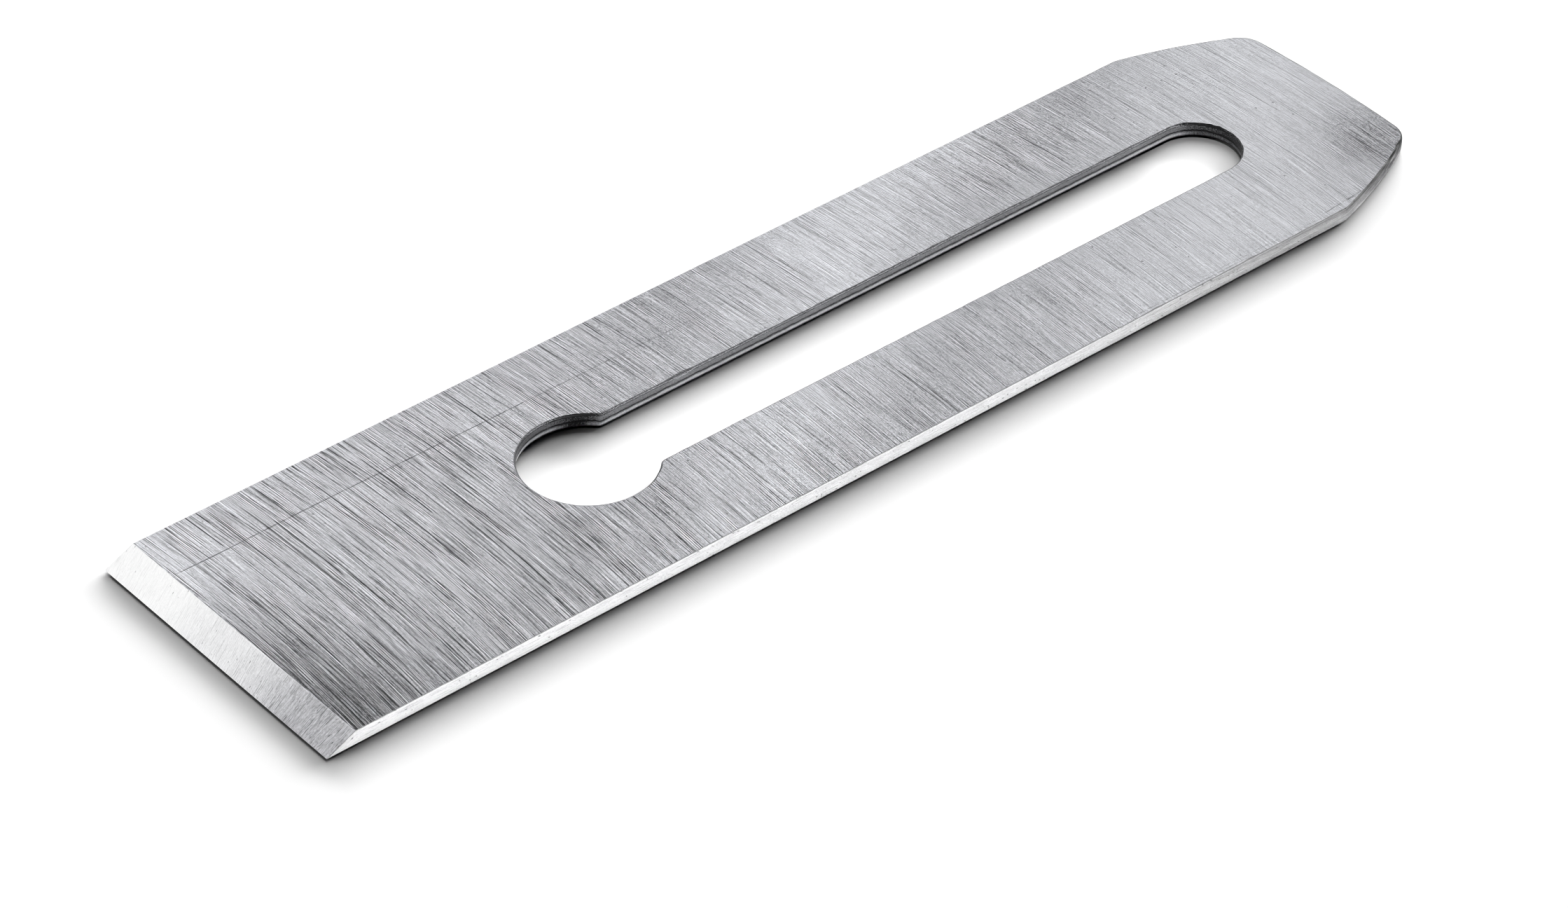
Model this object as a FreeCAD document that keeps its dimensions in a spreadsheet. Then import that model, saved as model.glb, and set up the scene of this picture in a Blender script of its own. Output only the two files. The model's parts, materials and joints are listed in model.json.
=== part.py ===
import FreeCAD, Part
import math
import os

import Sketcher

# Plane iron: the blade of a hand plane, one piece of stamped and ground tool steel.
#
# Frame: millimetres, origin at the centre of the flat back, which lies on Z = 0.
# -X is the cutting edge, +X the clipped back end, +Z the bevel side.

# The blank. A crowned back end, and two long gently curved clips beside it.
DIMENSIONS = {
    "blade_length": 188.0,
    "blade_width": 45.0,
    "blade_thickness": 2.0,
    "clip_run": 19.2,          # along the blade, from the crown's highest point
    "clip_curve": 90.0,        # radius of the clipped edges
    "back_width": 30.4,        # across the back end, between the clips
    "crown_curve": 215.0,      # radius of the back end
    "shoulder_rounding": 1.5,  # where a long side turns into a clip
    "corner_rounding": 4.0,    # where a clip turns into the back end
    "rim_rounding": 0.2,       # rolled top rim of the stamped outline
    "bevel_degrees": 25.0,     # ground bevel, from the back up to the top face
    "keyhole_diameter": 18.2,  # passes the head of the cap screw
    "keyhole_from_edge": 57.5,
    "slot_width": 12.0,        # takes the shoulder of the cap screw
    "slot_from_edge": 162.9,   # cutting edge to the centre of the slot's round end
    "neck_rounding": 1.0,      # where the keyhole opens into the slot
}

TOLERANCE = 1e-6


def make_sheet(document):
    """Driving dimensions, one alias a row."""
    sheet = document.addObject("Spreadsheet::Sheet", "Dimensions")
    for row, (alias, value) in enumerate(DIMENSIONS.items(), start=1):
        sheet.set(f"A{row}", alias)
        sheet.set(f"B{row}", str(value))
        sheet.setAlias(f"B{row}", alias)
    document.recompute()
    return sheet


def add_sketch(body, name, role):
    """Sketch on one of the body's own origin planes."""
    plane = next(item for item in body.Origin.OriginFeatures if item.Role == role)
    sketch = body.newObject("Sketcher::SketchObject", name)
    sketch.AttachmentSupport = [(plane, "")]
    sketch.MapMode = "FlatFace"
    return sketch


def add_dimension(sketch, name, expression, kind, *references):
    """Named driving constraint, bound to the sheet."""
    index = sketch.addConstraint(Sketcher.Constraint(kind, *references))
    sketch.renameConstraint(index, name)
    sketch.setExpression(f"Constraints.{name}", expression)


def join_ends(sketch, count, smooth=()):
    """Close a chain of segments, each one's end on the next one's start, tangent where smooth."""
    for index in range(count):
        following = (index + 1) % count
        kind = "Tangent" if index in smooth else "Coincident"
        sketch.addConstraint(Sketcher.Constraint(kind, index, 2, following, 1))


def arc_through(start, end, radius):
    """Shallow arc from start to end, anticlockwise, bulging to the right of the way."""
    chord = end - start
    across = FreeCAD.Vector(chord.y, -chord.x, 0) / chord.Length
    rise = radius - math.sqrt(radius ** 2 - (chord.Length / 2) ** 2)
    return Part.Arc(start, (start + end) / 2 + across * rise, end)


def upright_edges(feature, places):
    """Names of the upright edges that stand on the given XY places."""
    names = []
    for index, edge in enumerate(feature.Shape.Edges, start=1):
        low, high = edge.Vertexes[0].Point, edge.Vertexes[-1].Point
        upright = abs(low.x - high.x) < TOLERANCE and abs(low.y - high.y) < TOLERANCE
        if upright and any(math.hypot(low.x - x, low.y - y) < TOLERANCE for x, y in places):
            names.append(f"Edge{index}")
    assert len(names) == len(places), f"{feature.Name}: found {names}"
    return names


def add_fillet(body, name, base, edges, expression):
    fillet = body.newObject("PartDesign::Fillet", name)
    fillet.Base = (base, edges)
    fillet.setExpression("Radius", expression)
    body.Document.recompute()
    return fillet


def add_pocket(body, name, sketch, reversed_cut):
    """Cut right through the blade, and make sure that the cut met the steel."""
    before = body.Tip.Shape.Volume
    pocket = body.newObject("PartDesign::Pocket", name)
    pocket.Profile = sketch
    pocket.Type = "ThroughAll"
    pocket.Reversed = reversed_cut
    body.Document.recompute()
    assert pocket.Shape.Volume < before - TOLERANCE, f"{name} cuts nothing"
    return pocket


def add_blank(body, sheet):
    """The blank: a long strip with its back corners clipped."""
    half_length = sheet.blade_length / 2
    half_width = sheet.blade_width / 2
    back_half = sheet.back_width / 2
    crown_centre = half_length - sheet.crown_curve
    shoulder_x = half_length - sheet.clip_run
    corner_x = crown_centre + math.sqrt(sheet.crown_curve ** 2 - back_half ** 2)
    near_edge = FreeCAD.Vector(-half_length, -half_width, 0)
    near_shoulder = FreeCAD.Vector(shoulder_x, -half_width, 0)
    near_corner = FreeCAD.Vector(corner_x, -back_half, 0)
    far_corner = FreeCAD.Vector(corner_x, back_half, 0)
    far_shoulder = FreeCAD.Vector(shoulder_x, half_width, 0)
    far_edge = FreeCAD.Vector(-half_length, half_width, 0)

    sketch = add_sketch(body, "Outline", "XY_Plane")
    near_side, near_clip, crown, far_clip, far_side, cutting_edge = range(6)
    sketch.addGeometry(Part.LineSegment(near_edge, near_shoulder))
    sketch.addGeometry(arc_through(near_shoulder, near_corner, sheet.clip_curve))
    sketch.addGeometry(arc_through(near_corner, far_corner, sheet.crown_curve))
    sketch.addGeometry(arc_through(far_corner, far_shoulder, sheet.clip_curve))
    sketch.addGeometry(Part.LineSegment(far_shoulder, far_edge))
    sketch.addGeometry(Part.LineSegment(far_edge, near_edge))
    join_ends(sketch, 6)
    sketch.addConstraint(Sketcher.Constraint("Horizontal", near_side))
    sketch.addConstraint(Sketcher.Constraint("Symmetric", cutting_edge, 1, cutting_edge, 2, -1))
    sketch.addConstraint(Sketcher.Constraint("Symmetric", near_side, 2, far_side, 1, -1))
    sketch.addConstraint(Sketcher.Constraint("PointOnObject", crown, 3, -1))
    add_dimension(sketch, "edge_place", "Dimensions.blade_length / 2",
                  "DistanceX", near_side, 1, -1, 1, half_length)
    add_dimension(sketch, "shoulder_place", "Dimensions.blade_length / 2 - Dimensions.clip_run",
                  "DistanceX", -1, 1, near_side, 2, shoulder_x)
    add_dimension(sketch, "crown_place", "Dimensions.crown_curve - Dimensions.blade_length / 2",
                  "DistanceX", crown, 3, -1, 1, -crown_centre)
    add_dimension(sketch, "width", "Dimensions.blade_width",
                  "DistanceY", cutting_edge, 2, cutting_edge, 1, sheet.blade_width)
    add_dimension(sketch, "near_corner_place", "Dimensions.back_width / 2",
                  "DistanceY", crown, 1, -1, 1, back_half)
    add_dimension(sketch, "far_corner_place", "Dimensions.back_width / 2",
                  "DistanceY", -1, 1, crown, 2, back_half)
    add_dimension(sketch, "crown_curve", "Dimensions.crown_curve",
                  "Radius", crown, sheet.crown_curve)
    add_dimension(sketch, "near_clip_curve", "Dimensions.clip_curve",
                  "Radius", near_clip, sheet.clip_curve)
    add_dimension(sketch, "far_clip_curve", "Dimensions.clip_curve",
                  "Radius", far_clip, sheet.clip_curve)

    pad = body.newObject("PartDesign::Pad", "Blank")
    pad.Profile = sketch
    pad.setExpression("Length", "Dimensions.blade_thickness")
    body.Document.recompute()

    corners = [(corner_x, -back_half), (corner_x, back_half)]
    rounded = add_fillet(body, "CornerRounding", pad, upright_edges(pad, corners),
                         "Dimensions.corner_rounding")
    shoulders = [(shoulder_x, -half_width), (shoulder_x, half_width)]
    return add_fillet(body, "ShoulderRounding", rounded, upright_edges(rounded, shoulders),
                      "Dimensions.shoulder_rounding")


def cut_keyhole_and_slot(body, sheet):
    """The keyhole passes the cap screw's head; the slot beyond it lets the screw slide."""
    half_length = sheet.blade_length / 2
    half_slot = sheet.slot_width / 2
    keyhole_x = sheet.keyhole_from_edge - half_length
    slot_end_x = sheet.slot_from_edge - half_length
    keyhole_place = "Dimensions.blade_length / 2 - Dimensions.keyhole_from_edge"

    keyhole = add_sketch(body, "Keyhole", "XY_Plane")
    upright = FreeCAD.Vector(0, 0, 1)
    circle = Part.Circle(FreeCAD.Vector(keyhole_x, 0, 0), upright, sheet.keyhole_diameter / 2)
    keyhole.addGeometry(circle)
    keyhole.addConstraint(Sketcher.Constraint("PointOnObject", 0, 3, -1))
    add_dimension(keyhole, "diameter", "Dimensions.keyhole_diameter",
                  "Diameter", 0, sheet.keyhole_diameter)
    add_dimension(keyhole, "place", keyhole_place, "DistanceX", 0, 3, -1, 1, -keyhole_x)
    add_pocket(body, "KeyholePocket", keyhole, reversed_cut=True)

    slot = add_sketch(body, "Slot", "XY_Plane")
    near_line, round_end, _, keyhole_end = range(4)
    near_start = FreeCAD.Vector(keyhole_x, -half_slot, 0)
    near_finish = FreeCAD.Vector(slot_end_x, -half_slot, 0)
    tip = FreeCAD.Vector(slot_end_x + half_slot, 0, 0)
    far_start = FreeCAD.Vector(slot_end_x, half_slot, 0)
    far_finish = FreeCAD.Vector(keyhole_x, half_slot, 0)
    slot.addGeometry(Part.LineSegment(near_start, near_finish))
    slot.addGeometry(Part.Arc(near_finish, tip, far_start))
    slot.addGeometry(Part.LineSegment(far_start, far_finish))
    slot.addGeometry(Part.LineSegment(far_finish, near_start))
    join_ends(slot, 4, smooth=(near_line, round_end))
    slot.addConstraint(Sketcher.Constraint("Horizontal", near_line))
    slot.addConstraint(Sketcher.Constraint("Symmetric", keyhole_end, 1, keyhole_end, 2, -1))
    slot.addConstraint(Sketcher.Constraint("PointOnObject", round_end, 3, -1))
    add_dimension(slot, "width", "Dimensions.slot_width",
                  "DistanceY", keyhole_end, 2, keyhole_end, 1, sheet.slot_width)
    add_dimension(slot, "start", keyhole_place, "DistanceX", keyhole_end, 1, -1, 1, -keyhole_x)
    add_dimension(slot, "finish", "Dimensions.slot_from_edge - Dimensions.blade_length / 2",
                  "DistanceX", -1, 1, round_end, 3, slot_end_x)
    pocket = add_pocket(body, "SlotPocket", slot, reversed_cut=True)

    neck_x = keyhole_x + math.sqrt((sheet.keyhole_diameter / 2) ** 2 - half_slot ** 2)
    neck = upright_edges(pocket, [(neck_x, -half_slot), (neck_x, half_slot)])
    return add_fillet(body, "NeckRounding", pocket, neck, "Dimensions.neck_rounding")


def grind_bevel(body, sheet):
    """A wedge taken off the top of the cutting end leaves a keen edge on the flat back."""
    edge_x = -sheet.blade_length / 2
    bevel_run = sheet.blade_thickness / math.tan(math.radians(sheet.bevel_degrees))
    sketch = add_sketch(body, "BevelWedge", "XZ_Plane")
    front, top, slope = range(3)
    edge = FreeCAD.Vector(edge_x, 0, 0)
    above_edge = FreeCAD.Vector(edge_x, sheet.blade_thickness, 0)
    heel = FreeCAD.Vector(edge_x + bevel_run, sheet.blade_thickness, 0)
    sketch.addGeometry(Part.LineSegment(edge, above_edge))
    sketch.addGeometry(Part.LineSegment(above_edge, heel))
    sketch.addGeometry(Part.LineSegment(heel, edge))
    join_ends(sketch, 3)
    sketch.addConstraint(Sketcher.Constraint("Vertical", front))
    sketch.addConstraint(Sketcher.Constraint("Horizontal", top))
    sketch.addConstraint(Sketcher.Constraint("PointOnObject", front, 1, -1))
    add_dimension(sketch, "edge_place", "Dimensions.blade_length / 2",
                  "DistanceX", front, 1, -1, 1, -edge_x)
    add_dimension(sketch, "thickness", "Dimensions.blade_thickness",
                  "DistanceY", front, 1, front, 2, sheet.blade_thickness)
    add_dimension(sketch, "run", "Dimensions.blade_thickness / tan(Dimensions.bevel_degrees * 1 deg)",
                  "DistanceX", top, 1, top, 2, bevel_run)
    before = body.Tip.Shape.Volume
    pocket = body.newObject("PartDesign::Pocket", "Bevel")
    pocket.Profile = sketch
    pocket.Midplane = True
    pocket.setExpression("Length", "Dimensions.blade_width + 2")
    body.Document.recompute()
    wedge = bevel_run * sheet.blade_thickness / 2 * sheet.blade_width
    removed = before - pocket.Shape.Volume
    assert abs(removed - wedge) < 1e-3 * wedge, f"bevel removes {removed}, not {wedge}"
    return pocket


def roll_top_rim(body, base, sheet):
    """Stamping rolls over the outline's top rim: both long sides and, tangent to them, the back end."""
    names = []
    for index, edge in enumerate(base.Shape.Edges, start=1):
        box = edge.BoundBox
        on_top = box.ZMin > sheet.blade_thickness - TOLERANCE
        along_side = box.YLength < TOLERANCE and abs(box.YMin) > sheet.blade_width / 2 - TOLERANCE
        if on_top and along_side:
            names.append(f"Edge{index}")
    assert len(names) == 2, f"found {names}"
    return add_fillet(body, "RimRounding", base, names, "Dimensions.rim_rounding")


def make_plane_iron(document, sheet):
    body = document.addObject("PartDesign::Body", "plane_iron")
    body.Label = "plane_iron"
    add_blank(body, sheet)
    cut_keyhole_and_slot(body, sheet)
    bevel = grind_bevel(body, sheet)
    roll_top_rim(body, bevel, sheet)
    body.Placement = FreeCAD.Placement()
    return body


def check_and_write(document, pieces):
    """Stop on any failed feature or bad solid, then write one STEP file a piece."""
    document.recompute()
    for item in document.Objects:
        failed = {"Invalid", "Error"} & set(item.State)
        assert not failed, f"{item.Name}: {item.State}"
    os.makedirs("parts", exist_ok=True)
    for piece in pieces:
        shape = piece.Shape
        assert not shape.isNull() and shape.isValid(), piece.Label
        assert len(shape.Solids) == 1, piece.Label
        shape.exportStep(f"parts/{piece.Label}.step")
        box = shape.BoundBox
        print(f"{piece.Label}: {box.XLength:.2f} x {box.YLength:.2f} x {box.ZLength:.2f} mm, "
              f"{shape.Volume:.0f} mm3, {len(shape.Faces)} faces")


def main():
    document = FreeCAD.newDocument("PlaneIron")
    sheet = make_sheet(document)
    check_and_write(document, [make_plane_iron(document, sheet)])


main()
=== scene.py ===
"""Looks of the plane iron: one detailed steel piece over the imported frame, on a white studio floor.

The piece is modelled in millimetres in the row frame (X along the blade from the cutting edge to
the back end, Y across, Z up from the flat back) and scaled to metres when its mesh is made.
"""
import json
import math

import bmesh
import bpy
import numpy as np
from mathutils import Matrix, Vector
from mathutils.geometry import delaunay_2d_cdt


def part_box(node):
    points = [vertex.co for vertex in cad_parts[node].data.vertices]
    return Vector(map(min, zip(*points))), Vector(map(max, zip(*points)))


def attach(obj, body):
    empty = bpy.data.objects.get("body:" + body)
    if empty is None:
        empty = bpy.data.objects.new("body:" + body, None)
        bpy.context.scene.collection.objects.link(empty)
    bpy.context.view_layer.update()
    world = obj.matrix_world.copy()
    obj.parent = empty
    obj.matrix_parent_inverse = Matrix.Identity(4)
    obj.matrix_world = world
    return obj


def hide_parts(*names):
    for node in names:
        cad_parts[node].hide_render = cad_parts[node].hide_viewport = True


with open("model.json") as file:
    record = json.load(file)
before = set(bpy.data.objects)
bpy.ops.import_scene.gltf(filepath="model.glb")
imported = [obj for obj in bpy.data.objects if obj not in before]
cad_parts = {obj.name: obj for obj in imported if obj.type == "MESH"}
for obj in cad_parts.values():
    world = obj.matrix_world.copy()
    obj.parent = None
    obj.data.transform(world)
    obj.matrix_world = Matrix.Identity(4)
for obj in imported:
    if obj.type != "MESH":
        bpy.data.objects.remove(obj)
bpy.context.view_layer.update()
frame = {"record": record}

MM = 0.001

# ---------------------------------------------------------------------------------------------
# Sizes, in millimetres. The blade's extents and keyhole come from the frame.
# ---------------------------------------------------------------------------------------------
LOW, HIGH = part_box("plane_iron")
EDGE_X = LOW.x / MM
END_X = HIGH.x / MM
HALF_WIDTH = HIGH.y / MM
THICKNESS = HIGH.z / MM

KEYHOLE = next(m for m in frame["record"]["mounts"] if m["name"] == "keyhole")
KEYHOLE_X = KEYHOLE["pos_m"][0] / MM
KEYHOLE_RADIUS = KEYHOLE["dims"]["r_mm"]

# The back end: a curved clip on each side, from the shoulder to the corner, and a crowned end.
CLIP_RUN = 19.2
CLIP_CURVE = 90.0
BACK_HALF = 15.2
CROWN_CURVE = 215.0
SHOULDER_ROUNDING = 1.5
CORNER_ROUNDING = 4.0
# The slot, up to the centre of its round end, and the necks where it opens into the keyhole.
SLOT_HALF = 6.0
SLOT_END_X = 68.9
NECK_ROUNDING = 1.0
# The bevel, from the cutting edge up to the heel.
BEVEL_ANGLE = math.radians(25.0)
BEVEL_RUN = THICKNESS / math.tan(BEVEL_ANGLE)
HEEL_X = EDGE_X + BEVEL_RUN

COLUMN_SPACING = 0.2
GROUND, BEVEL, SIDE, PUNCHED = range(4)
WALL_MAP = "wall_mm"


# ---------------------------------------------------------------------------------------------
# Outlines: each is a list of columns (x, y, outward x, outward y), outward being out of the steel
# ---------------------------------------------------------------------------------------------
def line(start, end, outward):
    length = math.dist(start, end)
    count = max(1, round(length / COLUMN_SPACING))
    share = np.linspace(0, 1, count, endpoint=False)[:, None]
    points = np.array(start) + (np.array(end) - np.array(start)) * share
    return np.hstack([points, np.tile(outward, (count, 1))])


def arc(centre, radius, start, end, outward=1):
    """Arc between two angles in radians; outward is -1 where the steel surrounds the centre."""
    count = max(2, round(abs(end - start) * radius / COLUMN_SPACING))
    angle = np.linspace(start, end, count, endpoint=False)
    ray = np.column_stack([np.cos(angle), np.sin(angle)])
    return np.hstack([np.array(centre) + radius * ray, outward * ray])


def bearing(centre, point):
    return math.atan2(point[1] - centre[1], point[0] - centre[0])


def circles_meet(first, first_radius, second, second_radius, near):
    """The meeting point of two circles that is closer to near."""
    gap = np.array(second) - np.array(first)
    distance = np.linalg.norm(gap)
    along = (first_radius ** 2 - second_radius ** 2 + distance ** 2) / (2 * distance)
    across = math.sqrt(first_radius ** 2 - along ** 2)
    foot = np.array(first) + gap / distance * along
    side = np.array([-gap[1], gap[0]]) / distance * across
    return min((foot + side, foot - side), key=lambda point: math.dist(point, near))


def mirrored(columns, last):
    """Columns up to the middle line, the point last on it, and the same mirrored, in reverse."""
    return np.vstack([columns, [last], columns[:0:-1] * (1, -1, 1, -1)])


def outer_columns():
    """From the near corner of the cutting edge round the back end to the far corner."""
    shoulder = (END_X - CLIP_RUN, -HALF_WIDTH)
    crown = (END_X - CROWN_CURVE, 0.0)
    corner = (crown[0] + math.sqrt(CROWN_CURVE ** 2 - BACK_HALF ** 2), -BACK_HALF)
    chord = np.subtract(corner, shoulder)
    length = np.linalg.norm(chord)
    inward = np.array([-chord[1], chord[0]]) / length
    middle = np.add(corner, shoulder) / 2
    clip = middle + inward * math.sqrt(CLIP_CURVE ** 2 - (length / 2) ** 2)

    first_y = -HALF_WIDTH + SHOULDER_ROUNDING
    reach = CLIP_CURVE - SHOULDER_ROUNDING
    first = (clip[0] + math.sqrt(reach ** 2 - (first_y - clip[1]) ** 2), first_y)
    second = circles_meet(clip, CLIP_CURVE - CORNER_ROUNDING,
                          crown, CROWN_CURVE - CORNER_ROUNDING, corner)
    near_half = np.vstack([
        line((EDGE_X, -HALF_WIDTH), (HEEL_X, -HALF_WIDTH), (0, -1)),
        line((HEEL_X, -HALF_WIDTH), (first[0], -HALF_WIDTH), (0, -1)),
        arc(first, SHOULDER_ROUNDING, -math.pi / 2, bearing(clip, first)),
        arc(clip, CLIP_CURVE, bearing(clip, first), bearing(clip, second)),
        arc(second, CORNER_ROUNDING, bearing(clip, second), bearing(crown, second)),
        arc(crown, CROWN_CURVE, bearing(crown, second), 0.0),
    ])
    columns = mirrored(near_half, (END_X, 0, 1, 0))
    return np.vstack([columns, [(EDGE_X, HALF_WIDTH, 0, 1)]])


def inner_columns():
    """Round the keyhole and slot, from the keyhole's point nearest the cutting edge."""
    keyhole = (KEYHOLE_X, 0.0)
    neck_y = -SLOT_HALF - NECK_ROUNDING
    neck_reach = KEYHOLE_RADIUS + NECK_ROUNDING
    neck = (KEYHOLE_X + math.sqrt(neck_reach ** 2 - neck_y ** 2), neck_y)
    to_neck = bearing(keyhole, neck)
    near_half = np.vstack([
        arc(keyhole, KEYHOLE_RADIUS, -math.pi, to_neck, outward=-1),
        arc(neck, NECK_ROUNDING, to_neck + math.pi, math.pi / 2),
        line((neck[0], -SLOT_HALF), (SLOT_END_X, -SLOT_HALF), (0, 1)),
        arc((SLOT_END_X, 0.0), SLOT_HALF, -math.pi / 2, 0.0, outward=-1),
    ])
    return mirrored(near_half, (SLOT_END_X + SLOT_HALF, 0, -1, 0))


def run_along(columns):
    """Distance along the outline to each column."""
    steps = np.linalg.norm(np.diff(columns[:, :2], axis=0), axis=1)
    return np.concatenate([[0], np.cumsum(steps)])


# ---------------------------------------------------------------------------------------------
# Walls: what stamping leaves between the two faces
# ---------------------------------------------------------------------------------------------
def wander(run, step, seed):
    """Smooth seeded noise from -1 to 1 along an outline, with a bump about every step."""
    knots = np.random.default_rng(seed).uniform(-1, 1, int(run[-1] / step) + 3)
    place = run / step
    cell = place.astype(int)
    share = place - cell
    share = share * share * (3 - 2 * share)
    return knots[cell] * (1 - share) + knots[cell + 1] * share


def bump_near(columns, spots):
    """Sum of soft spots (x, y, half width, size) along an outline."""
    total = np.zeros(len(columns))
    for x, y, half_width, size in spots:
        away = np.hypot(columns[:, 0] - x, columns[:, 1] - y)
        total += size * np.exp(-(away / half_width) ** 2)
    return total


def ease(value, low, high):
    share = np.clip((value - low) / (high - low), 0, 1)
    return share * share * (3 - 2 * share)


ROLL_ROWS, SMOOTH_ROWS, TORN_ROWS = 4, 4, 7
# The most of a wall's height that its rolled rim may take, and how wavy its smooth zone is.
MOST_ROLL = 0.4
WAVINESS = 0.006


def wall(columns, roll, smooth_share, lean, tear, seed):
    """Rows of points down a wall, and each point's depth below the top rim.

    roll is the radius of the rolled rim, smooth_share the share of the height that the punch left
    smooth, lean how far the torn zone falls back at the bottom, and tear how rough it is.
    """
    run = run_along(columns)
    height = np.clip((columns[:, 0] - EDGE_X) * math.tan(BEVEL_ANGLE), 0, THICKNESS)
    roll = np.minimum(roll, height * MOST_ROLL)
    torn_top = np.maximum(height * smooth_share, roll)
    rows, depths = [], []
    for row in range(ROLL_ROWS + SMOOTH_ROWS + TORN_ROWS + 1):
        if row <= ROLL_ROWS:
            turn = math.pi / 2 * row / ROLL_ROWS
            depth = roll * (1 - math.cos(turn))
            inset = roll * (1 - math.sin(turn))
        elif row <= ROLL_ROWS + SMOOTH_ROWS:
            share = (row - ROLL_ROWS) / SMOOTH_ROWS
            depth = roll + (torn_top - roll) * share
            inset = WAVINESS * (1 + wander(run, 0.9, seed + 1)) * math.sin(math.pi * share)
        else:
            share = (row - ROLL_ROWS - SMOOTH_ROWS) / TORN_ROWS
            depth = torn_top + (height - torn_top) * share
            ribs = wander(run, 0.25, seed + 2) + 0.6 * wander(run, 0.5, seed + 10 + row)
            inset = lean * share ** 0.8 + tear * (1.6 + ribs) * min(1, 2 * share)
        inset = inset * np.minimum(1, height / THICKNESS)
        points = columns[:, :2] - columns[:, 2:] * inset[:, None]
        rows.append(np.column_stack([points, height - depth]))
        depths.append(depth)
    return np.array(rows), np.array(depths), run


# The outer edges are ground smooth up to the first x, and as punched from the second.
GROUND_TO_X = 20.0
PUNCHED_FROM_X = 80.0
# Radius of the top rim where the side is ground, what stamping adds to it, and the slot's own.
GROUND_RIM = 0.10
ROLLED_RIM = 0.12
PUNCHED_ROLL = 0.22
# How far the slot's torn zone falls back at the bottom.
BREAK_OUT = 0.13
# Small chips in the rims: (x, y, half width, extra radius).
OUTER_CHIPS = (
    (40, -22.5, 1.5, 0.12),
    (57, -22.5, 0.8, 0.15),
    (91, -17, 1.2, 0.2),
)
INNER_CHIPS = (
    (-16.5, 6, 1.6, 0.28),
    (-4, 6, 0.35, 0.15),
    (26.5, 6, 0.5, 0.12),
    (71.5, 5.3, 0.8, 0.15),
    (74.6, 1.8, 0.3, 0.2),
    (74.3, 3, 0.3, 0.15),
)


def outer_wall():
    """Ground smooth towards the cutting end; as punched, with a heavier roll, towards the back."""
    columns = outer_columns()
    run = run_along(columns)
    as_punched = ease(columns[:, 0], GROUND_TO_X, PUNCHED_FROM_X)
    uneven = 1 + 0.35 * wander(run, 3.1, 3) + 0.15 * wander(run, 0.9, 4)
    roll = GROUND_RIM + ROLLED_RIM * as_punched * uneven + bump_near(columns, OUTER_CHIPS)
    smooth_share = 0.96 - 0.36 * as_punched * (1 + 0.15 * wander(run, 1.4, 5))
    return wall(columns, roll, smooth_share, lean=0.04 * as_punched,
                tear=0.010 * as_punched + 0.001, seed=20)


def inner_wall():
    """Slot and keyhole wall: a rolled, chipped rim, a smooth zone, and a torn zone leaning back."""
    columns = inner_columns()
    run = run_along(columns)
    roll = PUNCHED_ROLL + 0.04 * wander(run, 1.6, 6) + 0.03 * wander(run, 0.5, 9)
    roll += bump_near(columns, INNER_CHIPS)
    smooth_share = 0.55 + 0.05 * wander(run, 2.3, 7) + 0.03 * wander(run, 0.5, 8)
    return wall(columns, roll, smooth_share, lean=BREAK_OUT, tear=0.014, seed=40)


# ---------------------------------------------------------------------------------------------
# Mesh
# ---------------------------------------------------------------------------------------------
def add_wall(mesh, layer, rows, depths, run, slot, closed):
    """Quads between a wall's rows, with the run and depth in millimetres as their map."""
    grid = [[mesh.verts.new(Vector(point) * MM) for point in row] for row in rows]
    count = len(run)
    total = run[-1] + COLUMN_SPACING
    for row in range(len(rows) - 1):
        for column in range(count if closed else count - 1):
            after = (column + 1) % count
            corners = [(row, column), (row + 1, column), (row + 1, after), (row, after)]
            quad = mesh.faces.new([grid[r][c] for r, c in corners])
            quad.material_index = slot
            quad.smooth = True
            for loop, (r, c) in zip(quad.loops, corners):
                along = total if c == 0 and column == count - 1 else run[c]
                loop[layer].uv = (along, depths[r][c])


def add_flat(mesh, outline, holes, height, slot):
    """Triangles over an outline with holes, at the height that height(x) gives."""
    rings = [outline, *holes]
    points = [Vector(point[:2]) for ring in rings for point in ring]
    starts = np.cumsum([0] + [len(ring) for ring in rings])
    loops = [list(range(low, high)) for low, high in zip(starts, starts[1:])]
    places, _, triangles, *_ = delaunay_2d_cdt(points, [], loops, 2, 1e-6)
    verts = [mesh.verts.new(Vector((p.x, p.y, height(p.x))) * MM) for p in places]
    for triangle in triangles:
        face = mesh.faces.new([verts[index] for index in triangle])
        face.material_index = slot


SHARP_ANGLE = math.radians(24)
# How far short of the rims the line of points along the heel stops, in millimetres.
HEEL_END_GAP = 0.05
# Points closer than this, in metres, are joined where the faces meet the walls.
WELD = 2e-6


def slope_height(x):
    """Height of the top face, or of the bevel, at x."""
    return min(THICKNESS, max(0.0, (x - EDGE_X) * math.tan(BEVEL_ANGLE)))


def across(x, near_y, far_y, count=60):
    """Points on a line across the blade, between its two rims."""
    return [(x, y) for y in np.linspace(near_y, far_y, count + 2)[1:-1]]


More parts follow.
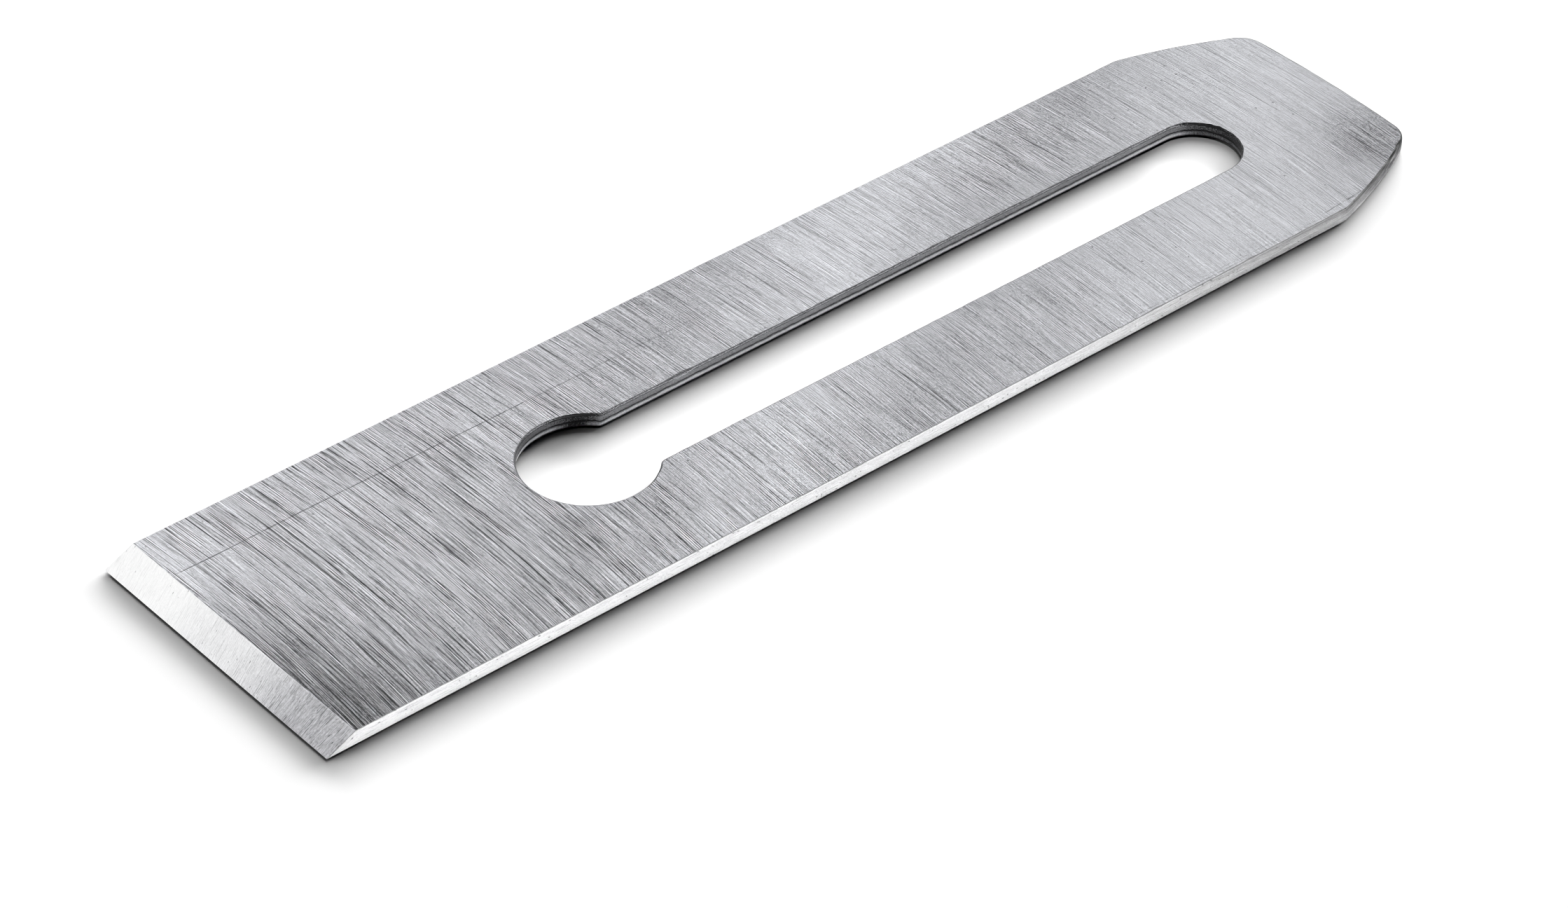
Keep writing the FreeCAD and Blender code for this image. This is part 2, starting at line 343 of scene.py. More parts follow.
def plane_iron_mesh():
    """Walls, bevel and both faces as one closed mesh, each with its material slot."""
    mesh = bmesh.new()
    layer = mesh.loops.layers.uv.new(WALL_MAP)
    outer, outer_depths, outer_run = outer_wall()
    inner, inner_depths, inner_run = inner_wall()
    add_wall(mesh, layer, outer, outer_depths, outer_run, SIDE, closed=False)
    add_wall(mesh, layer, inner, inner_depths, inner_run, PUNCHED, closed=True)

    rim = outer[0]
    on_bevel = rim[:, 0] < HEEL_X - 1e-6
    middle = len(rim) // 2
    near_bevel = rim[:middle][on_bevel[:middle]]
    far_bevel = rim[middle:][on_bevel[middle:]]
    body = rim[~on_bevel]
    cut = across(EDGE_X, HALF_WIDTH, -HALF_WIDTH)
    heel = across(HEEL_X, HALF_WIDTH - HEEL_END_GAP, -HALF_WIDTH + HEEL_END_GAP)
    add_flat(mesh, [*near_bevel, body[0], *heel[::-1], body[-1], *far_bevel, *cut], [],
             slope_height, BEVEL)
    add_flat(mesh, [*body, *heel], [inner[0]], lambda x: THICKNESS, GROUND)
    add_flat(mesh, [*outer[-1], *cut], [inner[-1]], lambda x: 0.0, GROUND)
    bmesh.ops.remove_doubles(mesh, verts=mesh.verts, dist=WELD)
    bmesh.ops.recalc_face_normals(mesh, faces=mesh.faces)
    open_edges = [edge for edge in mesh.edges if not edge.is_manifold]
    print("blade mesh:", len(mesh.faces), "faces,", len(open_edges), "open edges")
    data = bpy.data.meshes.new("plane_iron_steel")
    mesh.to_mesh(data)
    mesh.free()
    data.set_sharp_from_angle(angle=SHARP_ANGLE)
    for polygon in data.polygons:
        polygon.use_smooth = polygon.material_index in (SIDE, PUNCHED)
    return data


# ---------------------------------------------------------------------------------------------
# Materials
# ---------------------------------------------------------------------------------------------
# Scratches in lanes: how far the lanes shift against each other, in scratch lengths, the share
# of a length over which each end fades out, and the strength of the faintest scratch.
LANE_STAGGER = 7.0
SCORE_TAPER = 0.12
FAINTEST_SCORE = 0.35


class Graph:
    """A material's node tree, written as expressions: every call returns an output socket."""

    def __init__(self, name, metallic):
        self.material = bpy.data.materials.new(name)
        self.material.use_nodes = True
        self.tree = self.material.node_tree
        self.shader = self.tree.nodes["Principled BSDF"]
        self.shader.inputs["Metallic"].default_value = metallic

    def feed(self, socket, value):
        """Link a socket to value, or set it when value is a plain number."""
        if isinstance(value, bpy.types.NodeSocket):
            self.tree.links.new(value, socket)
        elif value is not None:
            socket.default_value = value

    def math(self, operation, first, second=None):
        node = self.tree.nodes.new("ShaderNodeMath")
        node.operation = operation
        for socket, value in zip(node.inputs, (first, second)):
            self.feed(socket, value)
        return node.outputs[0]

    def chain(self, operation, terms):
        total = terms[0]
        for term in terms[1:]:
            total = self.math(operation, total, term)
        return total

    def add(self, *terms):
        return self.chain("ADD", terms)

    def times(self, *terms):
        return self.chain("MULTIPLY", terms)

    def highest(self, *terms):
        return self.chain("MAXIMUM", terms)

    def gap(self, first, second):
        """How far apart two values are."""
        return self.math("ABSOLUTE", self.math("SUBTRACT", first, second))

    def centred(self, noise):
        """Noise from 0 to 1 turned into -0.5 to 0.5."""
        return self.math("SUBTRACT", noise, 0.5)

    def bell(self, squared):
        """1 where squared is 0, falling off softly as it grows."""
        return self.math("POWER", math.e, self.times(squared, -1.0))

    def between(self, value, low, high, to_low=0.0, to_high=1.0):
        """Smooth clamped ramp of value."""
        node = self.tree.nodes.new("ShaderNodeMapRange")
        node.interpolation_type = "SMOOTHSTEP"
        for socket, item in zip(node.inputs, (value, low, high, to_low, to_high)):
            self.feed(socket, item)
        return node.outputs[0]

    def axes(self, vector):
        apart = self.tree.nodes.new("ShaderNodeSeparateXYZ")
        self.feed(apart.inputs[0], vector)
        return apart.outputs

    def vector(self, x, y, z=0.0):
        node = self.tree.nodes.new("ShaderNodeCombineXYZ")
        for socket, value in zip(node.inputs, (x, y, z)):
            self.feed(socket, value)
        return node.outputs[0]

    def place(self):
        """X and Y in the row frame, in millimetres."""
        where = self.tree.nodes.new("ShaderNodeTexCoord").outputs["Object"]
        return [self.times(axis, 1 / MM) for axis in self.axes(where)[:2]]

    def on_wall(self):
        """Distance along a wall and depth below its rim, in millimetres."""
        node = self.tree.nodes.new("ShaderNodeUVMap")
        node.uv_map = WALL_MAP
        return self.axes(node.outputs[0])[:2]

    def noise(self, x, y, seed, detail=2.0, roughness=0.5):
        """Noise from 0 to 1 over x and y, with features about 1 apart."""
        node = self.tree.nodes.new("ShaderNodeTexNoise")
        self.feed(node.inputs["Vector"], self.vector(x, y, seed))
        node.inputs["Scale"].default_value = 1.0
        node.inputs["Detail"].default_value = detail
        node.inputs["Roughness"].default_value = roughness
        return node.outputs["Fac"]

    def streaks(self, x, y, width, length, seed, detail=2.0):
        """Noise drawn out along y."""
        return self.noise(self.times(x, 1 / width), self.times(y, 1 / length), seed, detail)

    def white(self, *numbers):
        """Three random values from 0 to 1 for a set of whole numbers."""
        node = self.tree.nodes.new("ShaderNodeTexWhiteNoise")
        self.feed(node.inputs["Vector"], self.vector(*numbers))
        return self.axes(node.outputs["Color"])

    def scores(self, u, along, lane, length, width, seed, share):
        """Straight scratches, 1 on a scratch and 0 off it.

        They run along one axis in lanes across the other, and each lane is cut into lengths, of
        which a share holds a scratch.
        """
        lanes = self.times(u, 1 / lane)
        number = self.math("FLOOR", lanes)
        stagger = self.times(self.white(number, seed)[0], LANE_STAGGER)
        lengths = self.add(self.times(along, 1 / length), stagger)
        part = self.math("FLOOR", lengths)
        chance, place, strength = self.white(number, part, seed + 0.5)
        centre = self.add(number, 0.25, self.times(place, 0.5))
        off = self.times(self.gap(lanes, centre), lane)
        core = self.between(off, 0.25 * width, 0.75 * width, 1.0, 0.0)
        reach = self.math("SUBTRACT", lengths, part)
        nearest_end = self.math("MINIMUM", reach, self.math("SUBTRACT", 1.0, reach))
        taper = self.between(nearest_end, 0.0, SCORE_TAPER)
        present = self.math("LESS_THAN", chance, share)
        strength = self.add(FAINTEST_SCORE, self.times(strength, 1 - FAINTEST_SCORE))
        return self.times(core, taper, present, strength)

    def drawn_score(self, u, y, start, end, place, width):
        """One scratch along y from start to end, at u = place."""
        half = (end - start) / 2
        off = self.gap(u, place)
        away = self.gap(y, start + half)
        return self.times(self.between(off, 0.2 * width, 0.8 * width, 1.0, 0.0),
                          self.between(away, 0.6 * half, half, 1.0, 0.0))

    def stroke(self, x, y, start, end, width):
        """A straight scratch between two points."""
        length = math.dist(start, end)
        run_x, run_y = (end[0] - start[0]) / length, (end[1] - start[1]) / length
        from_x = self.math("SUBTRACT", x, (start[0] + end[0]) / 2)
        from_y = self.math("SUBTRACT", y, (start[1] + end[1]) / 2)
        along = self.add(self.times(from_x, run_x), self.times(from_y, run_y))
        off = self.add(self.times(from_x, run_y), self.times(from_y, -run_x))
        return self.times(
            self.between(self.math("ABSOLUTE", off), 0.2 * width, 0.8 * width, 1.0, 0.0),
            self.between(self.math("ABSOLUTE", along), 0.35 * length, 0.5 * length, 1.0, 0.0))

    def pits(self, x, y, spacing, size, seed):
        """Small round pits, 1 inside a pit."""
        node = self.tree.nodes.new("ShaderNodeTexVoronoi")
        node.voronoi_dimensions = "2D"
        node.inputs["Scale"].default_value = 1.0
        shifted = self.add(self.times(x, 1 / spacing), seed)
        self.feed(node.inputs["Vector"], self.vector(shifted, self.times(y, 1 / spacing)))
        chance = self.axes(node.outputs["Color"])[0]
        reach = self.between(chance, 0.55, 1.0, 0.0, size / spacing)
        return self.math("LESS_THAN", node.outputs["Distance"], reach)

    def spots(self, x, y, patches):
        """Soft elliptical patches (x, y, half length, half width, strength), summed."""
        total = 0.0
        for centre_x, centre_y, half_x, half_y, strength in patches:
            across_x = self.times(self.math("SUBTRACT", x, centre_x), 1 / half_x)
            across_y = self.times(self.math("SUBTRACT", y, centre_y), 1 / half_y)
            away = self.add(self.times(across_x, across_x), self.times(across_y, across_y))
            total = self.add(total, self.times(self.bell(away), strength))
        return total

    def finish(self, tone, warmth, roughness, height, depth):
        """Colour from a grey tone; height times depth (mm) as fine relief."""
        colour = self.tree.nodes.new("ShaderNodeCombineColor")
        for socket, tint in zip(colour.inputs, warmth):
            self.feed(socket, self.times(tone, tint))
        self.feed(self.shader.inputs["Base Color"], colour.outputs[0])
        self.feed(self.shader.inputs["Roughness"], roughness)
        bump = self.tree.nodes.new("ShaderNodeBump")
        bump.inputs["Strength"].default_value = 1.0
        bump.inputs["Distance"].default_value = depth * MM
        self.feed(bump.inputs["Height"], height)
        self.feed(self.shader.inputs["Normal"], bump.outputs[0])
        return self.material


# Red, green and blue for a grey tone of 1, and each material's plain tone before its marks.
STEEL_TINT = (0.985, 0.997, 1.045)
BRIGHT_TINT = (0.998, 1.0, 1.012)
FACE_TONE = 0.50
BEVEL_TONE = 0.96
SIDE_TONE = 0.99
BURNISH_TONE = 0.29
# The darkest tone on the faces and edges, and on the slot walls.
DARKEST = 0.03
DARKEST_WALL = 0.02

# The grinding arcs bow about this y, by its square over this many millimetres.
ARC_MIDDLE_Y = 3.0
ARC_SPAN = 560.0
# How far two crossing sets of grinding lines lean from the arcs, per millimetre of y.
RIGHT_LEAN = 0.045
LEFT_LEAN = -0.03
# Painted reflections: soft lighter and darker patches (x, y, half length, half width, lighter or
# darker).
REFLECTION_PATCHES = (
    (-94, -22, 17, 17, -0.34),
    (-89, -8, 6, 14, -0.06),
    (-60, -20, 22, 10, -0.04),
    (-87, 18, 9, 9, 0.13),
    (-56, 0, 6, 8, -0.04),
    (-34, -16, 9, 9, -0.07),
    (-14, 20, 9, 6, -0.05),
    (12, 18, 12, 8, 0.05),
    (6, -16, 16, 8, -0.03),
    (82, 15, 9, 8, 0.04),
    (89, -14, 8, 8, -0.20),
    (62, 20, 9, 5, -0.05),
)
# Patches (x, y, half length, half width, extra) where the grinding lines bite deeper.
COARSE_PATCHES = (
    (50, 16, 15, 8, 0.62),
    (22, -15, 14, 7, 0.12),
    (89, -13, 6, 6, 0.55),
)
# Painted reflections: slanting lighter and darker bands across the blade (place, half width,
# lighter or darker), where place is x + BAND_SLANT y.
BAND_SLANT = -1.4
REFLECTION_BANDS = (
    (0, 14, 0.09),
    (36, 14, -0.05),
    (80, 22, 0.06),
    (-34, 12, -0.05),
)
# Scratches that stand out (u, from y, to y, width, strength).
DRAWN_SCORES = (
    (-75.0, -3, 23, 0.22, 0.77),
    (-71.4, 11, 23, 0.20, 0.70),
    (-79.8, -23, -1, 0.20, 0.70),
    (-56.4, -12, 14, 0.18, 0.56),
    (-53.9, -4, 22, 0.16, 0.56),
    (-46.8, -22, 5, 0.16, 0.56),
    (-84.2, -12, 12, 0.16, 0.49),
    (4.6, 9, 23, 0.16, 0.49),
    (-5.3, -22, -10, 0.16, 0.42),
)
# Marks from handling: (start, end, width, strength).
HANDLING_MARKS = (
    ((71.2, -21.4), (80.4, -20.8), 0.13, 0.60),
    ((75.8, -21.1), (79.2, -21.3), 0.12, 0.50),
    ((86.0, -8.1), (89.2, -8.1), 0.12, 0.45),
    ((34.0, -21.8), (58.0, -22.0), 0.12, 0.45),
    ((48.0, -21.3), (72.0, -21.9), 0.10, 0.35),
    ((21.6, 9.1), (22.8, 8.3), 0.14, 0.60),
    ((22.8, 8.3), (24.0, 8.5), 0.14, 0.60),
    ((24.0, 8.5), (23.6, 9.4), 0.12, 0.45),
    ((4.6, -21.9), (5.4, -21.5), 0.14, 0.70),
    ((5.4, -21.5), (5.0, -21.1), 0.14, 0.60),
)
# The long hair scratch: its y at x = 0 and its slope.
HAIR_Y = 14.0
HAIR_SLOPE = -0.004

# Depths below the rim: of the dark split along the back's edges, and of the seam in the slot's
# walls between what the punch burnished and what it tore.
SPLIT_DEPTH = 1.45
SEAM_DEPTH = 1.10
# Painted shade on the walls at both necks of the keyhole, where shade falls.
NECK_PAINTED_SHADES = (
    (-32.0, 8.2, 2.8, 2.8, 1.3),
    (-32.0, -8.2, 2.8, 2.8, 1.3),
)


def bands(g, x, y):
    """Soft slanting bands of painted reflection, summed."""
    place = g.add(x, g.times(y, BAND_SLANT))
    total = 0.0
    for centre, half, strength in REFLECTION_BANDS:
        away = g.times(g.math("SUBTRACT", place, centre), 1 / half)
        total = g.add(total, g.times(g.bell(g.times(away, away)), strength))
    return total


def grinding_lines(g, u, right, y):
    """The many thin dark lines, crowded in places and ragged along their length."""
    crowd = g.between(g.streaks(u, y, width=2.6, length=16.0, seed=4.0, detail=1.0),
                      0.35, 0.62, 0.55, 1.0)
    light = g.highest(
        g.scores(u, y, lane=0.27, length=10.0, width=0.095, seed=5.0, share=0.42),
        g.scores(right, y, lane=0.42, length=12.0, width=0.10, seed=6.0, share=0.36))
    ragged = g.between(g.noise(g.times(u, 4.0), g.times(y, 1.1), seed=4.4, detail=1.0),
                       0.36, 0.58, 0.55, 1.0)
    return g.times(light, crowd, ragged, 1.2), ragged


def deep_lines(g, u, y, x, ragged):
    """Fewer, longer and wider lines, strongest at the cutting end."""
    deep = g.times(g.scores(u, y, lane=1.2, length=16.0, width=0.135, seed=7.0, share=0.52),
                   g.between(x, -55.0, -5.0, 1.0, 0.45))
    return g.times(deep, g.add(0.65, g.times(ragged, 0.45)))


def face_pits(g, x, y, speckle):
    """Rust pits of two sizes, with uneven edges."""
    uneven_x = g.add(x, g.times(speckle, 0.3))
    return g.highest(g.pits(uneven_x, y, spacing=2.8, size=0.15, seed=3.7),
                     g.pits(uneven_x, g.times(y, 0.6), spacing=1.3, size=0.06, seed=8.2))


def heel_nicks(g, x, y, u):
    """Small nicks in the face where it meets the bevel."""
    return g.times(
        g.between(x, HEEL_X + 0.05, HEEL_X + 0.35, 1.0, 0.0),
        g.between(g.noise(g.times(u, 3.0), g.times(y, 1.6), seed=6.5), 0.50, 0.62))


def drawn_scores(g, u, y):
    """The scratches that stand out, summed."""
    total = 0.0
    for place, start, end, width, strength in DRAWN_SCORES:
        total = g.add(total, g.times(g.drawn_score(u, y, start, end, place, width), strength))
    return total


def handling_marks(g, x, y):
    """Short broken scratches and two small hooked nicks, summed."""
    broken = g.between(g.noise(g.times(x, 1.3), g.times(y, 1.3), seed=9.7), 0.38, 0.55, 0.25, 1.0)
    total = 0.0
    for start, end, width, strength in HANDLING_MARKS:
        total = g.add(total, g.times(g.stroke(x, y, start, end, width), broken, strength))
    return total


def lengthwise_scratch(g, x, y):
    """One long hair scratch along the far rail, from the heel to past the middle."""
    drift = g.centred(g.noise(g.times(x, 0.04), 0.0, seed=9.0, detail=1.0))
    line = g.add(HAIR_Y, g.times(drift, 0.8), g.times(x, HAIR_SLOPE))
    broken = g.noise(g.times(x, 0.7), 0.0, seed=8.0)
    strength = g.times(g.between(x, -55.0, 24.0, 1.0, 0.15),
                       g.between(broken, 0.35, 0.6, 0.6, 1.0),
                       g.between(x, HEEL_X, HEEL_X + 2.0))
    return g.times(g.between(g.gap(y, line), 0.03, 0.10, 1.0, 0.0), strength, 0.95)


def ground_steel():
    """Both faces: ground across the blade in long shallow arcs, coarser at the cutting end, with
    painted reflections.

    The relief is made from few of the marks. The renderer has room for 255 values in one
    material, and a material that needs more comes out black; this one needs about half.
    """
    g = Graph("ground_steel", metallic=1.0)
    x, y = g.place()
    arc_y = g.math("SUBTRACT", y, ARC_MIDDLE_Y)
    u = g.add(x, g.times(arc_y, arc_y, 1 / ARC_SPAN))
    right = g.add(u, g.times(y, RIGHT_LEAN))
    left = g.add(u, g.times(y, LEFT_LEAN))
    coarse = g.add(g.between(x, -60.0, 70.0, 1.08, 0.5), g.spots(x, y, COARSE_PATCHES))

    speckle = g.centred(g.noise(g.times(u, 10.0), g.times(y, 6.0), seed=0.3, detail=1.0))
    fine = g.centred(g.streaks(u, y, width=0.09, length=8.0, seed=1.0, detail=1.0))
    second = g.centred(g.streaks(left, y, width=0.45, length=9.0, seed=2.0, detail=1.0))
    broad = g.centred(g.streaks(u, y, width=3.0, length=30.0, seed=3.0))
    beside = g.add(u, 0.11)
    bright = g.add(
        g.scores(left, y, lane=0.9, length=9.0, width=0.09, seed=8.0, share=0.30),
        g.scores(beside, y, lane=0.27, length=10.0, width=0.09, seed=5.0, share=0.42))
    grain = g.add(g.times(speckle, g.between(x, -60.0, 0.0, 0.95, 1.65)), g.times(fine, 1.15),
                  g.times(second, 0.10), g.times(bright, 0.24))
    # The slanting bands and the soft patches in the tone are painted reflections.
    tone = g.add(FACE_TONE, g.times(grain, coarse), g.times(broad, 0.10), bands(g, x, y),
                 g.spots(x, y, REFLECTION_PATCHES))

    lines, ragged = grinding_lines(g, u, right, y)
    cut = g.highest(lines, deep_lines(g, u, y, x, ragged))
    marks = g.highest(g.times(face_pits(g, x, y, speckle), 0.6),
                      g.times(heel_nicks(g, x, y, u), 0.6))
    scratches = g.add(drawn_scores(g, u, y), lengthwise_scratch(g, x, y))
    cut = g.highest(g.times(cut, coarse), marks, scratches, handling_marks(g, x, y))

    tone = g.highest(g.times(tone, g.math("SUBTRACT", 1.0, cut)), DARKEST)
    roughness = g.add(0.34, g.times(second, 0.15), g.times(cut, 0.15))
    height = g.add(g.times(fine, 0.6), g.times(second, 0.3), g.times(lines, coarse, -1.2))
    return g.finish(tone, STEEL_TINT, roughness, height, depth=0.005)


def bevel_steel():
    """The bevel: brighter, ground up the slope in slanting lines, darker towards the near end, a
    painted heel highlight.
    """
    g = Graph("bevel_steel", metallic=1.0)
    x, y = g.place()
    # near_end_share: 0 on the far side and 1 at the near end; the tone grows darker, busier and bluer
    # with it.
    near_end_share = g.add(g.between(y, 14.0, 0.0, 0.0, 0.27), g.between(y, 0.0, -16.0, 0.0, 0.73))
    slant = g.between(y, -4.0, -20.0, -0.40, -0.05)
    turned = g.add(y, g.times(g.math("SUBTRACT", x, HEEL_X), slant))
    fine = g.centred(g.streaks(turned, x, width=0.10, length=1.6, seed=11.0, detail=1.0))
    speckle = g.centred(g.noise(g.times(turned, 7.0), g.times(x, 5.0), seed=12.3, detail=1.0))
    middle = g.centred(g.streaks(turned, x, width=0.9, length=9.0, seed=12.0))
    scores = g.highest(
        g.scores(turned, x, lane=0.26, length=1.3, width=0.08, seed=13.0, share=0.40),
        g.scores(turned, x, lane=0.8, length=2.6, width=0.10, seed=14.0, share=0.30))
    ticks = g.pits(g.times(turned, 1.7), g.times(x, 0.8), spacing=1.7, size=0.13, seed=5.1)
    # heel: a painted highlight, a thin bright line just below the heel on the near half of the bevel.
    heel = g.times(g.between(x, HEEL_X - 0.18, HEEL_X - 0.06), g.between(y, 4.0, -6.0),
                   g.between(g.noise(g.times(y, 1.2), 0.0, seed=14.6), 0.35, 0.6, 0.2, 1.0))
    busy = g.add(0.40, g.times(near_end_share, 0.85))
    grain = g.add(g.times(fine, 0.50), g.times(speckle, 0.45), g.times(scores, -0.24))
    tone = g.add(BEVEL_TONE, g.times(grain, busy), g.times(middle, 0.06), g.times(near_end_share, -0.49),
                 g.times(ticks, -0.34), g.times(heel, 0.16))
    roughness = g.add(0.30, g.times(middle, 0.1))
    height = g.add(fine, g.times(scores, -1.0))
    blue = g.add(1.0, g.times(near_end_share, 0.04))
    return g.finish(tone, (0.998, 1.0, blue), roughness, height, depth=0.004)


def side_painted_light_and_split(g, x, y, depth, speckle, blotch):
    """What the outer edges' tone is multiplied by: painted shade and light, and the dark split."""
    back = g.between(x, GROUND_TO_X, PUNCHED_FROM_X)
    # upper: darker over the upper part of the wall, more so at the back.
    upper = g.between(depth, 0.3, 1.1, 1.0, 0.0)
    # rim: painted shade along the top rim of the near side, towards the ground end.
    rim = g.times(g.between(g.add(depth, g.times(speckle, 0.08)), 0.02, 0.16, 1.0, 0.0),
                  g.between(y, 2.0, -8.0), g.math("SUBTRACT", 1.0, back))
    # roll: painted shade that dims the highlight on the rolled rim at the back.
    roll = g.times(g.between(g.add(depth, g.times(speckle, 0.12)), 0.05, 0.12),
                   g.between(depth, 0.26, 0.40, 1.0, 0.0), back)
    from_split = g.math("ABSOLUTE", g.add(depth, -SPLIT_DEPTH, g.times(blotch, 0.5)))
    split = g.times(g.between(from_split, 0.05, 0.26, 1.0, 0.0), g.between(x, 78.0, 90.0))
    # foot: painted light, a lift at the foot of the back clips against the dark floor mirrored there.
    foot = g.times(g.between(depth, 1.3, 1.95), g.between(x, 70.0, 84.0))
    return g.add(1.0, g.times(upper, g.add(-0.12, g.times(back, -0.14))), g.times(rim, -0.55),
                 g.times(roll, -0.30), g.times(split, -0.50), foot)


def side_steel():
    """Outer edges: drawn lengthwise, bright at the cutting end, duller and rougher at the back."""
    g = Graph("side_steel", metallic=0.85)
    x, y = g.place()
    run, depth = g.on_wall()
    lines = g.centred(g.streaks(depth, run, width=0.16, length=2.6, seed=21.0))
    speckle = g.centred(g.noise(g.times(run, 3.5), g.times(depth, 6.0), seed=23.0))
    blotch = g.centred(g.noise(g.times(run, 0.5), depth, seed=22.0))
    scores = g.scores(depth, run, lane=0.30, length=3.0, width=0.07, seed=24.0, share=0.35)
    pits = g.pits(g.add(run, g.times(speckle, 0.9)), g.add(depth, g.times(speckle, 0.3)),
                  spacing=0.8, size=0.11, seed=1.3)
    wear = g.add(g.between(x, -80.0, 10.0, 0.0, 0.10), g.between(x, 10.0, 85.0, 0.0, 0.46),
                 g.between(x, 70.0, 90.0, 0.0, 0.28))
    layers = g.add(0.40, g.between(x, 76.0, 92.0, 0.0, 1.1))
    tone = g.add(SIDE_TONE, g.times(lines, layers), g.times(speckle, 0.55),
                 g.times(blotch, 0.15), g.times(scores, -0.25), g.times(wear, -1.0))
    tone = g.times(tone, side_painted_light_and_split(g, x, y, depth, speckle, blotch),
                   g.between(pits, 0.0, 1.0, 1.0, 0.40))
    roughness = g.add(0.62, g.times(blotch, 0.12))
    height = g.add(lines, speckle, g.times(scores, -1.0), g.times(pits, -2.0))
    return g.finish(g.highest(tone, DARKEST), BRIGHT_TINT, roughness, height, depth=0.010)


def punched_steel():
    """Slot and keyhole walls: dark pitted burnish, a ragged seam, pale torn steel below; painted
    shade in places.
    """
    g = Graph("punched_steel", metallic=0.9)
    x, y = g.place()
    run, depth = g.on_wall()
    ribs = g.centred(g.streaks(run, depth, width=0.14, length=1.2, seed=31.0))
    speckle = g.centred(g.noise(g.times(run, 5.0), g.times(depth, 6.0), seed=33.0, roughness=0.8))
    wave = g.centred(g.noise(g.times(run, 0.6), 0.0, seed=32.0, detail=3.0, roughness=0.65))
    blotch = g.centred(g.noise(g.times(run, 0.35), g.times(depth, 0.8), seed=34.0))
    seam_at = g.add(SEAM_DEPTH, g.times(wave, 0.45), g.times(speckle, 0.16))
    below = g.math("SUBTRACT", depth, seam_at)
    # At the very bottom the pale torn steel fades to the dark burnish: painted shade of the contact
    # line.
    torn = g.times(g.between(below, 0.08, 0.50), g.between(depth, 1.76, 1.93, 1.0, 0.10))
    seam = g.times(g.between(g.math("ABSOLUTE", below), 0.04, 0.16, 1.0, 0.0),
                   g.between(g.noise(g.times(run, 0.9), 0.0, seed=35.0), 0.35, 0.6, 0.55, 1.0))
    # rim: painted shade along the rolled top rim of the far walls, which also dims the highlight
    # there.
    rim = g.times(g.between(g.add(depth, g.times(speckle, 0.10)), 0.26, 0.42, 1.0, 0.0),
                  g.between(depth, 0.0, 0.12, 0.5, 1.0), g.between(y, -1.0, 3.0))
    # Painted shade on the slot's round end wall and at the keyhole's necks, on burnish and torn steel
    # alike.
    painted_end_shade = g.highest(g.between(x, SLOT_END_X + 1.0, SLOT_END_X + 4.5),
                         g.spots(x, y, NECK_PAINTED_SHADES))
    burnish = g.add(BURNISH_TONE, g.times(ribs, 0.12), g.times(speckle, 0.75),
                    g.times(blotch, 0.12), g.times(painted_end_shade, -0.22))
    torn_steel = g.add(0.78, g.times(ribs, 0.6), g.times(speckle, 0.5), g.times(painted_end_shade, -0.60))
    tone = g.add(burnish, g.times(torn, torn_steel), g.times(seam, -0.26), g.times(rim, -0.165))
    roughness = g.add(0.42, g.times(torn, 0.15))
    height = g.add(g.times(ribs, 0.4), speckle, g.times(seam, -2.0))
    return g.finish(g.highest(tone, DARKEST_WALL), STEEL_TINT, roughness, height, depth=0.02)


# ---------------------------------------------------------------------------------------------
# Studio
# ---------------------------------------------------------------------------------------------
# Softboxes: name, azimuth and elevation in degrees, distance, width and height in metres, and
# radiance. The floor sees only the first set, and the steel mirrors only the second.
# The two keys draw the long shadows, back_bank brightens the rest of the floor, and front_fill
# lifts the darkest line under the blade.
FLOOR_LIGHTS = (
    ("key", 115, 17.2, 6.0, 6.9, 0.84, 46),
    ("low_key", 115, 12, 6.0, 6.9, 1.37, 20.5),
    ("back_bank", 132, 47, 6.0, 3.1, 5.6, 3.7),
    ("front_fill", -135, 20, 6.0, 3.0, 1.5, 2.9),
)
STEEL_CARDS = (
    ("face_card", 139, 38, 1.2, 1.5, 1.0, 0.5),
    ("bevel_card", -166, 53, 1.2, 0.9, 0.9, 0.45),
    ("side_card", 10, 8, 1.0, 1.6, 0.25, 9.5),
)
# Strips above the slot: name, x of the middle, length and width in millimetres, and irradiance.
SLOT_STRIPS = (
    ("slot_fill", (SLOT_END_X + KEYHOLE_X) / 2, 118, 7, 0.35),
    ("slot_end_fill", SLOT_END_X - 1.2, 6, 7, 0.75),
)
STRIP_HEIGHT = 80.0
STRIP_SPREAD = math.radians(10)
WORLD_RADIANCE = 0.6

# The floor: its size in metres, its tone, and how far below the blade it lies in millimetres.
FLOOR_SIZE = 8.0
FLOOR_WHITE = 0.9
FLOOR_GAP = 0.31

# The camera: lens and distance in millimetres, angles in degrees, and the point it looks at.
CAMERA_LENS = 124.17
CAMERA_AZIMUTH = -41.22
CAMERA_ELEVATION = 38.335
CAMERA_ROLL = 1.027
CAMERA_DISTANCE = 678.27
CAMERA_TARGET = (-15.41, -12.89, 0.0)
PIXEL_FILTER = 1.1


def toward(azimuth, elevation):
    """Unit vector; azimuth 0 is the near side (-Y), 90 the back end (+X), 180 the far side."""
    a, e = math.radians(azimuth), math.radians(elevation)
    return Vector((math.sin(a) * math.cos(e), -math.cos(a) * math.cos(e), math.sin(e)))


def add_area_light(name, length, width):
    """A rectangular light, sized in metres and out of the camera's sight."""
    light = bpy.data.lights.new(name, "AREA")
    light.shape = "RECTANGLE"
    light.size = length
    light.size_y = width
    lamp = bpy.data.objects.new(name, light)
    bpy.context.scene.collection.objects.link(lamp)
    lamp.visible_camera = False
    return lamp


